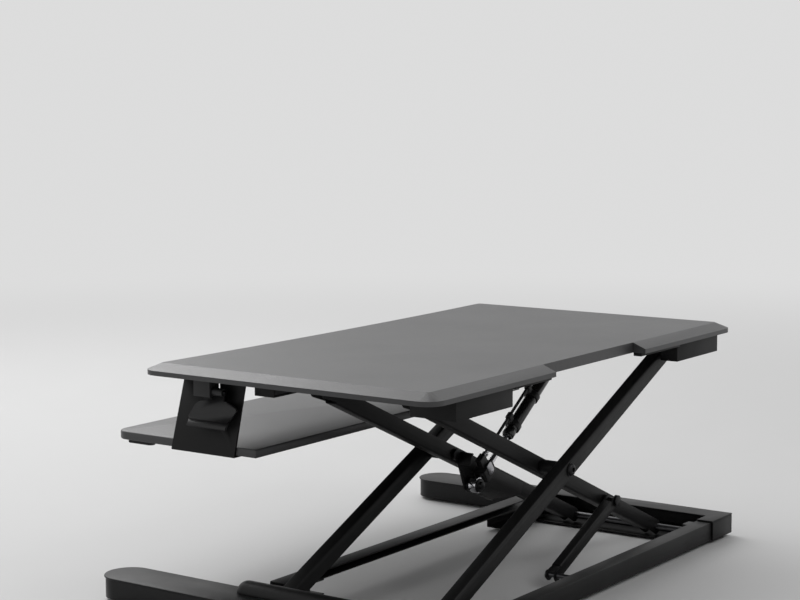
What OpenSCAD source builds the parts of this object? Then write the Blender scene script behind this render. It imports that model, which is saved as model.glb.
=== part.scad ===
// Standing desk converter: a worktop and a keyboard tray carried by a scissor
// frame on a low base, with a gas spring and two squeeze paddles.
// Lengths are in millimetres. X points to the user's right, Y to the back, Z up.
// Places count from the desk surface at Z = 0 and the middle of the worktop at X = 0,
// Y = 0. in_frame() then moves every piece so that Y = 0 halves the whole depth.

/* [Worktop] */

// width of the worktop, side to side
top_w = 890; // [800:1:1000]
// depth of the worktop, front to back
top_d = 514; // [480:1:560]
// thickness of the worktop
top_t = 16; // [14:0.5:25]
// how far the sloping edge runs in from the side
bevel_run = 22; // [10:1:30]
// how far the sloping edge drops
bevel_drop = 9; // [4:0.5:12]
// how far the middle of the front edge is drawn in
front_sag = 10; // [0:1:25]
// width of the clamp notch in the back edge
notch_w = 268; // [120:1:320]
// depth of the clamp notch
notch_d = 22; // [15:1:40]

/* [Scissor] */

// length of an arm from its lower pivot to the middle pivot
arm_low = 414; // [380:1:440]
// length of an arm from the middle pivot to its upper pivot
arm_up = 354.4; // [320:0.2:380]
// slope of the arms as they stand, in degrees
rest_angle = 24.244; // [15:0.001:28]
// height of the arm section
arm_h = 24; // [20:1:30]
// width of the arm section
arm_w = 22; // [18:1:26]
// sheet thickness of the arms
arm_wall = 2.5; // [2:0.5:4]
// radius of the four long shafts
shaft_r = 6; // [5:0.5:8]
// radius of the middle pivot bolts
bolt_r = 5; // [4:0.5:6]
// how far the web of a channel stops short of a fork end
web_cut = 30; // [20:1:45]

/* [Arm spacing] */

// front face of the front outer arm
front_outer_y = -64; // [-70:1:-55]
// front face of the front inner arm
front_inner_y = -19; // [-25:1:-10]
// front face of the rear inner arm
rear_inner_y = 139; // [130:1:150]
// front face of the rear outer arm
rear_outer_y = 190; // [184:1:200]

/* [Base] */

// distance of the inner edge of a foot from the middle
foot_in = 376; // [370:1:400]
// width of a foot
foot_w = 75; // [60:1:90]
// front end of the feet
foot_front = -353; // [-380:1:-300]
// back end of the feet
foot_back = 257; // [257:1:280]
// height of the rubber pads
pad_h = 5; // [3:0.5:6]
// height of a foot body above the pads
foot_h = 30; // [28:0.5:36]
// thickness of the foot covers
cover_t = 3; // [2:0.5:4]
// how far a cover stands out over its foot
cover_lip = 2; // [1:0.5:3]
// sheet thickness of the base and of the boxes under the worktop
sheet = 2; // [1.5:0.5:2.5]
// height of the lower pivots above the desk
pivot_z = 18.5; // [18:0.5:20]
// outer radius of the hinge hood
hood_r = 17; // [15:0.5:20]

/* [Boxes under the worktop] */

// height of the boxes
box_h = 30; // [28:1:36]
// how far the hinge boxes on the right reach inwards from their hinge
hinge_box_in = 107; // [100:1:120]
// length of the rear hinge box
hinge_box_len = 142; // [130:1:150]
// how far the slide boxes on the left reach inwards from the rest place of their shaft
slide_box_in = 44; // [40:1:50]
// length of the slide boxes
slide_box_len = 144; // [135:1:160]
// back face of the rear boxes
box_back_y = 245; // [240:1:250]
// front face of the front boxes
box_front_y = -112; // [-112:1:-108]
// depth of the front boxes
box_front_d = 36; // [30:1:40]

/* [Keyboard tray] */

// width of the tray
tray_w = 724; // [640:1:728]
// front edge of the tray
tray_front = -390; // [-410:1:-340]
// back edge of the tray
tray_back = -110; // [-130:1:-109]
// thickness of the tray
tray_t = 13; // [10:0.5:18]
// height from the tray underside to the worktop underside
tray_drop = 122; // [110:1:124]
// thickness of the tray brackets
bracket_t = 3; // [2:0.5:4]

/* [Gas spring] */

// middle plane of the spring
spring_y = 20; // [18:1:26]
// radius of the cylinder
cyl_r = 10; // [8:0.5:11]
// radius of the rod
rod_r = 5; // [4:0.5:6]
// bare length between the lower eye and the cylinder mouth
rod_out = 113; // [105:1:125]
// place of the lower eye along the inner arm from its lower pivot
eye_s = 359.2; // [350:0.1:365]
// how far the lower eye hangs under the middle line of the inner arm
eye_drop = 34; // [30:0.5:38]
// distance of the release cable from the middle line of the spring
cable_off = 22; // [20:0.5:25]
// radius of the cables
cable_r = 2.5; // [2:0.1:3]

/* [Stay] */

// length of the stay between its pivots
stay_len = 200; // [180:1:210]
// height of the stay section
stay_h = 18; // [14:1:20]
// width of the stay section
stay_w = 16; // [12:1:16]

/* [Paddles] */

// height of a paddle pin above the tray underside
paddle_pin_up = 95; // [92:0.5:98]
// gap between a tray bracket and its paddle
paddle_gap = 12; // [10:0.5:15]
// width of a paddle along the side of the worktop
paddle_w = 92; // [80:1:110]
// height of a paddle plate
paddle_h = 41; // [30:1:45]

/* [Fits] */

// radial clearance of a shaft that turns in its hole
run_gap = 0.06; // [0.02:0.01:0.1]
// clearance between faces that slide past each other
slide_gap = 0.3; // [0.2:0.05:0.5]

/* [Hidden] */

$fn = 48;
eps = 0.01;

// arm pivots
ca = cos(rest_angle);
sa = sin(rest_angle);
arm_len = arm_low + arm_up;
base_x = 392.5;
mid_x = base_x - arm_low * ca;
mid_z = pivot_z + arm_low * sa;
top_pivot_x = mid_x + arm_up * ca;
slide_x = mid_x - arm_up * ca;
top_pivot_z = mid_z + arm_up * sa;
low_x = mid_x - arm_low * ca;

// from the middle of the worktop back to the middle of the whole depth
frame_y = -(tray_front + top_d / 2) / 2;

// worktop levels
under_z = top_pivot_z + box_h / 2;
box_z = under_z - box_h;
corner_r = bevel_run + 6;

// base levels
foot_z = pad_h;
cover_z = foot_z + foot_h;
cover_top = cover_z + cover_t;
foot_mid = foot_in + foot_w / 2;
foot_r = foot_w / 2;
foot_wall = 2.5;
foot_cut_y = -105.3;
bar_end = foot_in + foot_w - cover_lip - foot_wall - 0.5;
rear_bar_y = 227;
rear_bar_d = 27;
rear_bar_back = rear_bar_y + rear_bar_d;
front_bar_y = -105;
front_bar_d = 29;
channel_h = 24;
channel_x = 247;
front_bar_x = 340;
front_bar_h = 13;
notch_x = 409;
rail_lo = foot_z + sheet;
rear_rail_hi = cover_z - sheet;
front_rail_hi = foot_z + channel_h - sheet;

// back faces of the arms
front_outer_b = front_outer_y + arm_w;
front_inner_b = front_inner_y + arm_w;
rear_inner_b = rear_inner_y + arm_w;
rear_outer_b = rear_outer_y + arm_w;

// spring geometry
eye_x = low_x + eye_s * ca + eye_drop * sa;
eye_z = pivot_z + eye_s * sa - eye_drop * ca;
spring_len = norm([eye_x - slide_x, top_pivot_z - eye_z]);
spring_a = atan2(top_pivot_z - eye_z, eye_x - slide_x);
cyl_len = spring_len - rod_out;
eye_clear = 5;
cheek_drop = eye_drop + 9;
cheek_flat = 70;
cheek_tail = 160;
eye_pin_r = 4;

// stay geometry
stay_x = low_x + stay_len * ca;
stay_z = pivot_z + stay_len * sa;
stay_y = rear_inner_b + 6;
stay_pin_x = low_x + 2 * stay_len * ca;
stay_pin_r = 4;

// tray and paddle geometry
tray_z = under_z - tray_drop;
bracket_x = tray_w / 2 + slide_gap;
bracket_out = bracket_x + bracket_t;
bracket_lean = 32;
bracket_y0 = -238;
bracket_y1 = -122;
gate_h = 33;
paddle_x = bracket_out + paddle_gap;
paddle_pin_z = tray_z + paddle_pin_up;
paddle_pin_r = 3;
paddle_t = 3;
paddle_y0 = -222;
neck_y0 = -173;
neck_y1 = -154;
mount_y0 = -205;
mount_y1 = -174;
gate_y0 = mount_y0 - 1;
gate_y1 = mount_y1 + 1;
cable_z = under_z - cable_r;

// round bar along Y
module bar_y(x, z, y0, y1, r) {
    translate([x, y0, z]) rotate([-90, 0, 0]) cylinder(r = r, h = y1 - y0);
}

// sets the origin on the desk, under the middle of the whole object
module in_frame() {
    translate([0, frame_y, 0]) children();
}

// block given by its low and high corners
module block(lo, hi) {
    translate(lo) cube(hi - lo);
}

// flat bar with round ends along X, lying in the XZ plane
module link_plate(len, h, t) {
    translate([0, 0, -h / 2]) cube([len, t, h]);
    bar_y(0, 0, 0, t, h / 2);
    bar_y(len, 0, 0, t, h / 2);
}

// folded channel with two fork ends, from its first pivot along X
module channel_link(len, h, w, t, cut0, cut1) {
    link_plate(len, h, t);
    translate([0, w - t, 0]) link_plate(len, h, t);
    translate([cut0, 0, -h / 2]) cube([len - cut0 - cut1, w, t]);
}

// scissor arm, lower pivot at the origin, with its three pivot holes
module arm(low_r, mid_r, up_r) {
    difference() {
        channel_link(arm_len, arm_h, arm_w, arm_wall, web_cut, web_cut);
        bar_y(0, 0, -1, arm_w + 1, low_r);
        bar_y(arm_low, 0, -1, arm_w + 1, mid_r);
        bar_y(arm_len, 0, -1, arm_w + 1, up_r);
    }
}

// places an arm hinged at the right foot
module place_outer(y) {
    translate([base_x, y, pivot_z]) rotate([0, 180 + rest_angle, 0]) children();
}

// places an arm that slides in the left foot
module place_inner(y) {
    translate([low_x, y, pivot_z]) rotate([0, -rest_angle, 0]) children();
}

// places a piece of the gas spring, upper eye at the origin, lower eye along X
module place_spring() {
    translate([slide_x, spring_y, top_pivot_z]) rotate([0, spring_a, 0]) children();
}

// folded box or rail along X; open_back leaves the +Y side open, else the -Y side
module rail(lo, hi, t, open_back, ends) {
    e = ends ? t : -1;
    ya = open_back ? lo[1] + t : lo[1] - 1;
    yb = open_back ? hi[1] + 1 : hi[1] - t;
    difference() {
        block(lo, hi);
        block([lo[0] + e, ya, lo[2] + t], [hi[0] - e, yb, hi[2] - t]);
    }
}

// cord along a list of points
function unit(v) = v / norm(v);
function tangent(p, i) = unit(p[min(i + 1, len(p) - 1)] - p[max(i - 1, 0)]);
function side_of(t) = unit(cross(t, [0, 0, 1]));

module cord(p, r) {
    n = 8;
    m = len(p);
    pts = [
        for (i = [0:m - 1])
            let (t = tangent(p, i), s = side_of(t), u = cross(s, t))
                for (k = [0:n - 1]) p[i] + r * (cos(360 * k / n) * s + sin(360 * k / n) * u)
    ];
    walls = [
        for (i = [0:m - 2])
            for (k = [0:n - 1])
                let (j = (k + 1) % n)
                    [i * n + k, i * n + j, (i + 1) * n + j, (i + 1) * n + k]
    ];
    first = [for (k = [0:n - 1]) n - 1 - k];
    last = [for (k = [0:n - 1]) (m - 1) * n + k];
    polyhedron(points = pts, faces = concat([first], walls, [last]), convexity = 6);
}

// smooth run between two places, level at both ends
function ease(t) = t * t * (3 - 2 * t);
function run(a, b, n, bow) = [
    for (i = [0:n])
        let (t = i / n, e = ease(t)) [a[0] + (b[0] - a[0]) * t, a[1] + (b[1] - a[1]) * e + bow * sin(180 * t), a[2]]
];

// worktop outline, drawn in by inset all round
function corner(cx, cy, r, a0) = [
    for (i = [0:6]) let (a = a0 + 15 * i) [cx + r * cos(a), cy + r * sin(a)]
];
function outline(inset) =
    let (hx = top_w / 2 - corner_r, hy = top_d / 2 - corner_r, r = corner_r - inset)
        concat(
            corner(hx, hy, r, 0),
            corner(-hx, hy, r, 90),
            corner(-hx, -hy, r, 180),
            [for (i = [1:15]) let (u = i / 8 - 1) [hx * u, -hy - r + front_sag * (1 - u * u)]],
            corner(hx, -hy, r, 270)
        );
function lift(pts, z) = [for (q = pts) [q[0], q[1], z]];

module worktop() {
    edge = outline(0);
    n = len(edge);
    pts = concat(lift(edge, 0), lift(edge, top_t - bevel_drop), lift(outline(bevel_run), top_t));
    walls = [
        for (k = [0:1])
            for (i = [0:n - 1])
                let (j = (i + 1) % n) [k * n + i, (k + 1) * n + i, (k + 1) * n + j, k * n + j]
    ];
    low = [for (i = [0:n - 1]) i];
    high = [for (i = [0:n - 1]) 3 * n - 1 - i];
    color("#2b2b2d")
        difference() {
            translate([0, 0, under_z])
                polyhedron(points = pts, faces = concat([low], walls, [high]), convexity = 4);
            translate([-notch_w / 2, top_d / 2 - notch_d, under_z - 1]) cube([notch_w, notch_d + 1, top_t + 2]);
        }
}

// foot outline with a round front end; inset draws in the sides and the front
module foot_plan(inset, back) {
    r = foot_r - inset;
    y0 = foot_front + foot_r;
    translate([foot_mid, y0]) circle(r = r);
    translate([foot_mid - r, y0]) square([2 * r, back - y0]);
}

module foot_body() {
    difference() {
        translate([0, 0, foot_z]) linear_extrude(height = foot_h) foot_plan(cover_lip, foot_back);
        translate([0, 0, foot_z + foot_wall])
            linear_extrude(height = foot_h) foot_plan(cover_lip + foot_wall, foot_back - foot_wall);
        block([foot_in - 1, foot_cut_y, 0], [bar_end + 0.5, rear_bar_back + slide_gap, cover_top]);
    }
}

module foot_cover() {
    difference() {
        translate([0, 0, cover_z]) linear_extrude(height = cover_t) foot_plan(0, foot_back);
        block([foot_in - 1, -78, cover_z - 1], [notch_x, 228, cover_top + 1]);
    }
}

module foot_right() color("#3a3a3c") foot_body();
module foot_left() color("#3a3a3c") mirror([1, 0, 0]) foot_body();
module foot_cover_right() color("#47474a") foot_cover();
module foot_cover_left() color("#47474a") mirror([1, 0, 0]) foot_cover();

module foot_pads() {
    color("#161616")
        for (side = [-1, 1]) {
            for (y = [foot_front + foot_r, -150])
                translate([side * foot_mid, y, 0]) cylinder(r = 12, h = pad_h);
            for (y = [front_bar_y + front_bar_d / 2, rear_bar_y + rear_bar_d / 2])
                translate([side * 425, y, 0]) cylinder(r = 12, h = pad_h);
        }
}

module rear_crossbar() {
    color("#1d1d1f")
        rail([-bar_end, rear_bar_y, foot_z], [bar_end, rear_bar_back, cover_z], sheet, false, false);
}

module front_crossbar() {
    z0 = foot_z + channel_h;
    color("#1d1d1f")
        rail([-front_bar_x, front_bar_y, z0],
            [front_bar_x, front_bar_y + front_bar_d, z0 + front_bar_h], sheet, true, false);
}

module front_channel() {
    rail([channel_x, front_bar_y, foot_z],
        [bar_end, front_bar_y + front_bar_d, foot_z + channel_h], sheet, true, false);
}

module front_channel_right() color("#1d1d1f") front_channel();
module front_channel_left() color("#1d1d1f") mirror([1, 0, 0]) front_channel();

module side_plates() {
    color("#1b1b1c")
        for (side = [0, 1])
            mirror([side, 0, 0]) {
                block([343, -100, foot_z - 2], [400, 250, foot_z]);
                block([399, -74, foot_z - 2], [foot_mid + foot_r - 2, 224, foot_z]);
            }
}

module base_hinge_blocks() {
    color("#222224")
        difference() {
            union() {
                block([base_x - 14, front_bar_y + sheet, rail_lo],
                    [base_x + 14, front_outer_y - 2, front_rail_hi]);
                block([base_x - 14, rear_outer_b + 2, rail_lo],
                    [base_x + 14, rear_bar_back - sheet, rear_rail_hi]);
            }
            bar_y(base_x, pivot_z, front_bar_y, rear_bar_back, shaft_r + run_gap);
        }
}

// half-round hood with a domed front end, open towards the arms
module hinge_hood() {
    y0 = -118 + hood_r;
    color("#2c2c2e")
        translate([base_x + 0.5, 0, cover_top])
            difference() {
                union() {
                    bar_y(0, 0, y0, 235, hood_r);
                    translate([0, y0, 0]) sphere(r = hood_r);
                }
                bar_y(0, 0, y0, 236, hood_r - sheet);
                translate([0, y0, 0]) sphere(r = hood_r - sheet);
                block([-hood_r - 1, -150, -hood_r - 1], [hood_r + 1, 240, 0]);
                block([-hood_r - 1, y0, -1], [-hood_r + 3, 240, hood_r + 1]);
            }
}

// arms hinged at the right foot
module outer_arm(y) {
    color("#1a1a1b") place_outer(y) arm(shaft_r, bolt_r, shaft_r);
}

module rear_outer_arm() outer_arm(rear_outer_y);
module front_outer_arm() outer_arm(front_outer_y);

module base_hinge_shaft() {
    color("#6d6d70") bar_y(base_x, pivot_z, front_bar_y + sheet + 1, rear_bar_back - sheet - 1, shaft_r);
}

module upper_slide_shaft() {
    color("#6d6d70") bar_y(slide_x, top_pivot_z, box_front_y + sheet + 1, box_back_y - sheet - 2, shaft_r);
}

// bolt with a domed head and a nut through one crossing
module pivot_bolt(y_head, y_end, dir) {
    y_a = min(y_head, y_end);
    y_b = max(y_head, y_end);
    bar_y(mid_x, mid_z, y_a, y_b, bolt_r);
    difference() {
        translate([mid_x, y_head, mid_z]) scale(1) sphere(r = 11);
        block([mid_x - 12, min(y_head, y_head - dir * 14), mid_z - 12],
            [mid_x + 12, max(y_head, y_head - dir * 14), mid_z + 12]);
        block([mid_x - 12, min(y_head + dir * 6, y_head + dir * 14), mid_z - 12],
            [mid_x + 12, max(y_head + dir * 6, y_head + dir * 14), mid_z + 12]);
    }
    translate([mid_x, y_end + (dir > 0 ? 6 : 0), mid_z])
        rotate([90, 0, 0])
            cylinder(r = 9, h = 6, $fn = 6);
}

module pivot_bolts() {
    color("#77777a") {
        pivot_bolt(rear_outer_b, rear_inner_y - slide_gap - 6, 1);
        pivot_bolt(front_outer_y, front_inner_b + slide_gap + 6, -1);
    }
}

module pivot_spacers() {
    color("#5a5a5d")
        difference() {
            union() {
                bar_y(mid_x, mid_z, rear_inner_b + slide_gap, rear_outer_y, 10);
                bar_y(mid_x, mid_z, front_outer_b, front_inner_y - slide_gap, 10);
            }
            bar_y(mid_x, mid_z, front_outer_y, rear_outer_b, bolt_r);
        }
}

// arms that slide in the left foot
module rear_inner_arm() {
    color("#1a1a1b")
        difference() {
            place_inner(rear_inner_y) arm(shaft_r, bolt_r + run_gap, shaft_r);
            bar_y(stay_x, stay_z, rear_inner_b - arm_wall - 1, rear_inner_b + 1, stay_pin_r);
        }
}

module front_inner_arm() {
    color("#1a1a1b") place_inner(front_inner_y) arm(shaft_r, bolt_r + run_gap, shaft_r);
}

module lower_slide_shaft() {
    color("#6d6d70") bar_y(low_x, pivot_z, front_bar_y + sheet + 1, rear_bar_back - sheet - 2, shaft_r);
}

module top_hinge_shaft() {
    color("#6d6d70") bar_y(top_pivot_x, top_pivot_z, box_front_y + sheet + 1, 195, shaft_r);
}

// side cheek of the spring bracket, in the frame of the inner arm
module bracket_cheek(y0, y1) {
    translate([0, y1, 0])
        rotate([90, 0, 0])
            linear_extrude(height = y1 - y0)
                difference() {
                    union() {
                        polygon([
                            [eye_s - cheek_tail, arm_h / 2 - 4], [eye_s + 40, arm_h / 2 - 4],
                            [eye_s + 40, -arm_h / 2], [eye_s + 11, -eye_drop - 5],
                            [eye_s - 15, -cheek_drop], [eye_s - cheek_flat, -cheek_drop],
                            [eye_s - cheek_tail, -arm_h / 2]
                        ]);
                        translate([eye_s, -eye_drop]) circle(r = 12);
                    }
                    translate([eye_s, -eye_drop]) circle(r = eye_pin_r);
                }
}

module spring_bracket() {
    y0 = front_inner_b;
    y1 = spring_y + 6;
    color("#202022")
        place_inner(0) {
            bracket_cheek(y0, y0 + 4);
            block([eye_s + 36, y0, -arm_h / 2], [eye_s + 40, y1, arm_h / 2 - 4]);
            block([eye_s - cheek_flat, y0, -cheek_drop], [eye_s - 15, y0 + 10, sheet - cheek_drop]);
        }
}

module spring_pin() {
    y0 = front_inner_b;
    y1 = spring_y + 6.5;
    color("#77777a") {
        bar_y(eye_x, eye_z, y0, y1 + 6, eye_pin_r);
        bar_y(eye_x, eye_z, y0 + 4, spring_y - 6.5, 11);
        bar_y(eye_x, eye_z, y1, y1 + 2, 11);
        bar_y(eye_x, eye_z, y1 + 2, y1 + 6.5, 6.5);
    }
}

// stay between the rear inner arm and the rear crossbar
module strut_bolt() {
    color("#77777a") {
        bar_y(stay_x, stay_z, rear_inner_b - arm_wall - 2, stay_y + stay_w + slide_gap + 1, stay_pin_r);
        bar_y(stay_x, stay_z, rear_inner_b, stay_y - slide_gap, 8);
        bar_y(stay_x, stay_z, stay_y + stay_w + slide_gap, stay_y + stay_w + 4, 9);
    }
}

module strut_arm() {
    color("#202022")
        difference() {
            translate([stay_x, stay_y, stay_z])
                rotate([0, rest_angle, 0])
                    mirror([0, 0, 1]) channel_link(stay_len, stay_h, stay_w, sheet, 14, 14);
            bar_y(stay_x, stay_z, stay_y - 1, stay_y + stay_w + 1, stay_pin_r + run_gap);
            bar_y(stay_pin_x, pivot_z, stay_y - 1, stay_y + stay_w + 1, stay_pin_r);
        }
}

module strut_pin() {
    color("#6d6d70") {
        bar_y(stay_pin_x, pivot_z, stay_y - 3, rear_bar_back - sheet - 4, stay_pin_r);
        bar_y(stay_pin_x, pivot_z, stay_y - 3, stay_y, 7);
    }
}

// nylon block on a shaft, in a rail
module glide(x, z, half, y0, y1, z0, z1, r) {
    difference() {
        block([x - half, y0, z0 + slide_gap], [x + half, y1, z1 - slide_gap]);
        bar_y(x, z, y0 - 1, y1 + 1, r + run_gap);
    }
}

module strut_glide() {
    color("#d8d6cf")
        glide(stay_pin_x, pivot_z, 11, rear_bar_y + 2, rear_bar_back - sheet - 1,
            rail_lo, rear_rail_hi, stay_pin_r);
}

module lower_glides() {
    color("#d8d6cf") {
        glide(low_x, pivot_z, 12, front_bar_y + sheet + slide_gap, front_outer_y + 4,
            rail_lo, front_rail_hi, shaft_r);
        glide(low_x, pivot_z, 12, rear_outer_b + 2, rear_bar_back - sheet - slide_gap,
            rail_lo, rear_rail_hi, shaft_r);
    }
}

module upper_glides() {
    z0 = box_z + sheet;
    z1 = under_z - sheet;
    color("#d8d6cf") {
        glide(slide_x, top_pivot_z, 13, box_front_y + sheet + slide_gap, box_front_y + box_front_d - 2,
            z0, z1, shaft_r);
        glide(slide_x, top_pivot_z, 13, rear_outer_b + 4, box_back_y - sheet - slide_gap,
            z0, z1, shaft_r);
    }
}

// gas spring, drawn along X from its upper eye
module gas_cylinder() {
    bore_len = 120;
    color("#141415")
        place_spring()
            difference() {
                union() {
                    bar_y(0, 0, -8, 8, 11);
                    rotate([0, 90, 0]) cylinder(r = cyl_r, h = cyl_len);
                    translate([cyl_len - 6, 0, 0]) rotate([0, 90, 0]) cylinder(r = cyl_r - 2, h = 9);
                }
                bar_y(0, 0, -20, 20, shaft_r + run_gap);
                translate([cyl_len - bore_len, 0, 0])
                    rotate([0, 90, 0]) cylinder(r = rod_r + slide_gap, h = bore_len + 10);
            }
}

// stand-off clips that guide the release cable along the cylinder
module cable_clips() {
    color("#2f2f31")
        place_spring()
            for (s = [135, 205])
                translate([spring_len - s - 5, 0, 0])
                    difference() {
                        union() {
                            rotate([0, 90, 0]) cylinder(r = cyl_r + 2, h = 10);
                            translate([0, -2.5, cyl_r]) cube([10, 5, cable_off - cyl_r]);
                            translate([0, 0, cable_off]) rotate([0, 90, 0]) cylinder(r = cable_r + 2.5, h = 10);
                        }
                        translate([-1, 0, 0]) rotate([0, 90, 0]) cylinder(r = cyl_r, h = 12);
                        translate([-1, 0, cable_off]) rotate([0, 90, 0]) cylinder(r = cable_r + 0.5, h = 12);
                    }
}

module gas_rod() {
    hole = eye_pin_r + eye_clear;
    color("#c9c9cc")
        place_spring()
            difference() {
                union() {
                    translate([spring_len, 0, 0]) bar_y(0, 0, -6, 6, hole + 3.5);
                    translate([cyl_len - 60, 0, 0]) rotate([0, 90, 0]) cylinder(r = rod_r, h = rod_out + 50);
                }
                translate([spring_len, 0, 0]) bar_y(0, 0, -10, 10, hole);
            }
}

module release_head() {
    color("#26262a")
        place_spring()
            difference() {
                union() {
                    block([spring_len - 46, -10, -11], [spring_len - 18, 10, 11]);
                    block([spring_len - 42, -5, 11], [spring_len - 26, 5, cable_off + 6]);
                }
                translate([spring_len - 60, 0, 0]) rotate([0, 90, 0]) cylinder(r = rod_r, h = 60);
                translate([spring_len - 43, 0, cable_off]) rotate([0, 90, 0]) cylinder(r = cable_r, h = 12);
            }
}

module spring_cable() {
    color("#0f0f10")
        place_spring()
            cord([for (i = [0:6]) [spring_len - 32 - 36.5 * i, 0, cable_off]], cable_r);
}

// boxes under the worktop with screw tabs at both ends
module tab_box(x0, x1, y0, y1, open_back, tab_y) {
    difference() {
        union() {
            rail([x0, y0, box_z], [x1, y1, under_z], sheet, open_back, true);
            block([x0 - 15, tab_y - 8, under_z - sheet], [x0, tab_y + 8, under_z]);
            block([x1, tab_y - 8, under_z - sheet], [x1 + 15, tab_y + 8, under_z]);
        }
        for (x = [x0 - 8, x1 + 8])
            translate([x, tab_y, under_z - sheet - 1]) cylinder(r = 2.2, h = sheet + 2);
    }
}

rear_tab_y = rear_outer_b + 12;
front_tab_y = box_front_y + 18;
hinge_box_x = top_pivot_x - hinge_box_in;
hinge_box_end = hinge_box_x + hinge_box_len;
slide_box_x = -slide_x - slide_box_in;
slide_box_end = slide_box_x + slide_box_len;
hinge_front_end = hinge_box_end - 13;

module hinge_box_rear() {
    color("#262628")
        tab_box(hinge_box_x, hinge_box_end, 170, box_back_y, false, rear_tab_y);
}

module hinge_box_front() {
    color("#262628")
        tab_box(hinge_box_x, hinge_front_end, box_front_y, box_front_y + box_front_d, true, front_tab_y);
}

module slide_box_rear() {
    color("#262628")
        tab_box(-slide_box_end, -slide_box_x, rear_outer_b + 3, box_back_y, false, rear_tab_y);
}

module slide_box_front() {
    color("#262628")
        tab_box(-slide_box_end, -slide_box_x, box_front_y, box_front_y + box_front_d, true, front_tab_y);
}

module top_hinge_blocks() {
    z0 = box_z + sheet;
    z1 = under_z - sheet;
    color("#222224")
        difference() {
            union() {
                block([top_pivot_x - 17, 172, z0], [top_pivot_x + 17, 205, z1]);
                block([top_pivot_x - 17, box_front_y + sheet, z0],
                    [top_pivot_x + 17, box_front_y + box_front_d - 2, z1]);
            }
            bar_y(top_pivot_x, top_pivot_z, box_front_y, 206, shaft_r + run_gap);
        }
}

module rear_stiffeners() {
    color("#262628") {
        block([notch_w / 2, 236, under_z - 5], [hinge_box_x, 250, under_z]);
        block([-slide_box_x, 236, under_z - 5], [-notch_w / 2, 250, under_z]);
    }
}

// side bracket that hangs the tray from the worktop, right side
module tray_bracket() {
    z0 = tray_z - bracket_t;
    in = 24;
    h = under_z - tray_z;
    gate_z = under_z - gate_h;
    flange = [[bracket_y0, gate_y0 - 2], [gate_y1 + 2, bracket_y1]];
    difference() {
        union() {
            translate([bracket_x, 0, 0])
                rotate([90, 0, 90])
                    linear_extrude(height = bracket_t)
                        polygon([
                            [bracket_y0, under_z], [bracket_y0 - bracket_lean, tray_z],
                            [bracket_y0 - bracket_lean, z0], [bracket_y1 - bracket_lean + 6, z0],
                            [bracket_y1 - bracket_lean + 6, tray_z], [bracket_y1, under_z]
                        ]);
            for (f = flange)
                block([bracket_x - in, f[0], under_z - bracket_t], [bracket_x + 1, f[1], under_z]);
            block([bracket_x - in, bracket_y0 - bracket_lean, z0],
                [bracket_x + 1, bracket_y1 - bracket_lean + 6, tray_z]);
        }
        block([bracket_x - 1, gate_y0, gate_z], [bracket_out + 1, gate_y1, under_z + 1]);
        for (y = [-226, -137])
            translate([bracket_x - 12, y, under_z - 10]) cylinder(r = 2.2, h = 12);
        for (y = [-250, -165])
            translate([bracket_x - 12, y, z0 - 1]) cylinder(r = 2.2, h = bracket_t + 2);
    }
}

module tray_bracket_right() color("#2a2a2c") tray_bracket();
module tray_bracket_left() color("#2a2a2c") mirror([1, 0, 0]) tray_bracket();

module keyboard_tray() {
    r = 24;
    color("#2b2b2d")
        translate([0, 0, tray_z])
            linear_extrude(height = tray_t)
                union() {
                    translate([-tray_w / 2, tray_front + r]) square([tray_w, tray_back - tray_front - r]);
                    translate([-tray_w / 2 + r, tray_front]) square([tray_w - 2 * r, r + 1]);
                    for (side = [-1, 1])
                        translate([side * (tray_w / 2 - r), tray_front + r]) circle(r = r);
                }
}

module tray_bumpers() {
    color("#161616")
        for (side = [-1, 1])
            translate([side * (tray_w / 2 - 10), tray_front + 30, tray_z - 4.5]) {
                cylinder(r = 7, h = 4.5);
                translate([0, 36, 0]) cylinder(r = 7, h = 4.5);
                translate([-7, 0, 0]) cube([14, 36, 4.5]);
            }
}

module paddle_mount() {
    x0 = bracket_out + 1;
    difference() {
        union() {
            block([x0, mount_y0, paddle_pin_z - 8], [paddle_x + 10, mount_y1, under_z]);
            block([x0 - 12, mount_y0 + 4, cable_z - 6], [x0, mount_y1 - 4, under_z]);
        }
        bar_y(paddle_x + 1.5, paddle_pin_z, mount_y0 - 1, mount_y1 + 1, paddle_pin_r);
        translate([x0 - 13, (mount_y0 + mount_y1) / 2, cable_z])
            rotate([0, 90, 0]) cylinder(r = cable_r, h = 12);
    }
}

module paddle_mounts() {
    color("#3a3a3d")
        for (side = [0, 1])
            mirror([side, 0, 0]) paddle_mount();
}

module paddle_pins() {
    color("#9a9a9d")
        for (side = [-1, 1])
            bar_y(side * (paddle_x + 1.5), paddle_pin_z, mount_y0, neck_y1 + 3, paddle_pin_r);
}

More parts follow.
